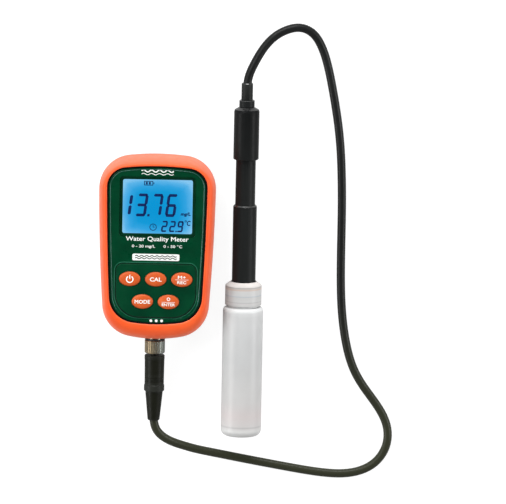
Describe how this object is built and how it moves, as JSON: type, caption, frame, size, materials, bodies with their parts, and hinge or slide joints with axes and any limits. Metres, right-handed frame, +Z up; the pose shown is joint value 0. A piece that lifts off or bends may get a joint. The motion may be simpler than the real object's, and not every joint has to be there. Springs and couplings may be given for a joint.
{
  "type": "water quality meter",
  "caption": "Handheld water quality meter in a rubber boot, with a cabled screw-on probe kept in its storage bottle.",
  "frame": {"origin": "centre of the laid-out set's footprint, on the table", "axes": "+Z up off the table, display facing up; +Y towards the top end of the meter and the cable end of the probe; +X from the meter to the probe"},
  "size_m": [0.1788, 0.277, 0.0317],
  "materials": {
    "boot_rubber": "moulded orange rubber, satin",
    "case_green": "dark green injection-moulded plastic, semi-gloss",
    "seal_rubber": "black seal rubber",
    "screw_steel": "stainless screw",
    "lens_clear": "clear window",
    "lcd_glass": "blue display cell",
    "white_diffuser": "white light guide",
    "board_green": "circuit board with solder mask",
    "chip_black": "black component bodies",
    "silicone_grey": "grey silicone",
    "key_orange": "moulded orange key",
    "dome_metal": "snap dome",
    "cell_body": "printed cell jacket",
    "contact_nickel": "nickel-plated spring steel",
    "connector_nickel": "nickel-plated brass",
    "pin_gold": "gold-plated contact",
    "insulator_black": "black insulator",
    "wire_mixed": "insulated wire",
    "plug_black": "black moulded grip",
    "cable_black": "black cable jacket, satin",
    "probe_black": "black probe plastic, satin",
    "probe_steel": "stainless temperature button",
    "core_white": "sensor core",
    "silver": "silver anode",
    "platinum": "platinum-tipped cathode post",
    "membrane_film": "gas-permeable film",
    "bottle_white": "milky polypropylene",
    "cap_white": "white screw cap",
    "seal_white": "white silicone ring"
  },
  "bodies": {
    "meter": {"boot": "boot_rubber", "front_housing": "case_green", "rear_housing": "case_green", "housing_gasket": "seal_rubber", "housing_screws": "screw_steel", "display_lens": "lens_clear", "lcd_panel": "lcd_glass", "backlight": "white_diffuser", "zebra_strips": "silicone_grey", "circuit_board": "board_green", "board_components": "chip_black", "board_screws": "screw_steel", "key_domes": "dome_metal", "keypad_mat": "silicone_grey", "keypad_overlay": "case_green", "door_gasket": "seal_rubber", "batteries": "cell_body", "battery_contacts": "contact_nickel", "battery_springs": "contact_nickel", "socket_barrel": "connector_nickel", "socket_nut": "connector_nickel", "socket_insulator": "insulator_black", "socket_pins": "pin_gold", "socket_seal": "seal_rubber", "socket_wires": "wire_mixed"},
    "battery_cover": {"battery_door": "case_green", "door_screws": "screw_steel"},
    "plug_lead": {"plug_shell": "connector_nickel", "plug_insulator": "insulator_black", "plug_wires": "wire_mixed", "plug_grip": "plug_black", "grip_collar": "plug_black", "plug_strain_relief": "plug_black", "cable_meter_half": "cable_black"},
    "lock_nut": {"coupling_nut": "connector_nickel"},
    "probe": {"cable_probe_half": "cable_black", "probe_strain_relief": "plug_black", "gland_nut": "probe_black", "probe_head": "probe_black", "probe_stem": "probe_black", "head_seal": "seal_rubber", "probe_wires": "wire_mixed", "sensor_sleeve": "probe_black", "temperature_sensor": "probe_steel", "sensor_core": "core_white", "cathode": "platinum", "anode": "silver"},
    "tip_seal": {"membrane_cap_seal": "seal_rubber"},
    "tip_cap": {"membrane_cap": "probe_black", "membrane": "membrane_film", "membrane_retainer": "core_white"},
    "flask": {"bottle": "bottle_white"},
    "flask_seal": {"bottle_cap_seal": "seal_white"},
    "flask_cap": {"bottle_cap": "cap_white"},
    "power_button": {"power_button": "key_orange"},
    "cal_button": {"cal_button": "key_orange"},
    "memory_button": {"memory_button": "key_orange"},
    "mode_button": {"mode_button": "key_orange"},
    "enter_button": {"enter_button": "key_orange"}
  },
  "joints": [
    {"name": "power_button_press", "type": "slide", "parent": "meter", "child": "power_button", "axis": [0, 0, -1], "range_m": [0, 0.0005], "stiffness_N_per_m": 400, "springref_m": -0.0005},
    {"name": "cal_button_press", "type": "slide", "parent": "meter", "child": "cal_button", "axis": [0, 0, -1], "range_m": [0, 0.0005], "stiffness_N_per_m": 400, "springref_m": -0.0005},
    {"name": "memory_button_press", "type": "slide", "parent": "meter", "child": "memory_button", "axis": [0, 0, -1], "range_m": [0, 0.0005], "stiffness_N_per_m": 400, "springref_m": -0.0005},
    {"name": "mode_button_press", "type": "slide", "parent": "meter", "child": "mode_button", "axis": [0, 0, -1], "range_m": [0, 0.0005], "stiffness_N_per_m": 400, "springref_m": -0.0005},
    {"name": "enter_button_press", "type": "slide", "parent": "meter", "child": "enter_button", "axis": [0, 0, -1], "range_m": [0, 0.0005], "stiffness_N_per_m": 400, "springref_m": -0.0005},
    {"name": "battery_door_off", "type": "slide", "parent": "meter", "child": "battery_cover", "axis": [0, 0, -1], "range_m": [0, 0.015]},
    {"name": "plug_pull", "type": "slide", "parent": "meter", "child": "plug_lead", "axis": [0, -1, 0], "range_m": [0, 0.014]},
    {"name": "coupling_nut_spin", "type": "hinge", "parent": "plug_lead", "child": "lock_nut", "pos_m": [-0.05434, -0.05741, 0.0155], "axis": [0, 1, 0], "continuous": true},
    {"name": "probe_lift", "type": "slide", "parent": "plug_lead", "child": "probe", "axis": [0, 1, 0], "range_m": [0, 0.06]},
    {"name": "bottle_spin", "type": "hinge", "parent": "plug_lead", "child": "flask", "pos_m": [-0.00174, -0.07641, 0.0121], "axis": [0, 1, 0], "continuous": true},
    {"name": "bottle_cap_rise", "type": "slide", "parent": "flask", "child": "flask_seal", "axis": [0, 1, 0], "range_m": [0, 0.005]},
    {"name": "bottle_cap_turn", "type": "hinge", "parent": "flask_seal", "child": "flask_cap", "pos_m": [-0.00174, -0.02641, 0.0121], "axis": [0, 1, 0], "range_deg": [0, 600.1]},
    {"name": "tip_cap_drop", "type": "slide", "parent": "probe", "child": "tip_seal", "axis": [0, -1, 0], "range_m": [0, 0.01]},
    {"name": "tip_cap_turn", "type": "hinge", "parent": "tip_seal", "child": "tip_cap", "pos_m": [-0.00174, -0.04941, 0.0121], "axis": [0, -1, 0], "range_deg": [0, 2880.1]}
  ],
  "couplings": [
    {"joint": "bottle_cap_turn", "follows": "bottle_cap_rise", "rad_per_m": 2094.4},
    {"joint": "tip_cap_turn", "follows": "tip_cap_drop", "rad_per_m": 5026.5}
  ]
}
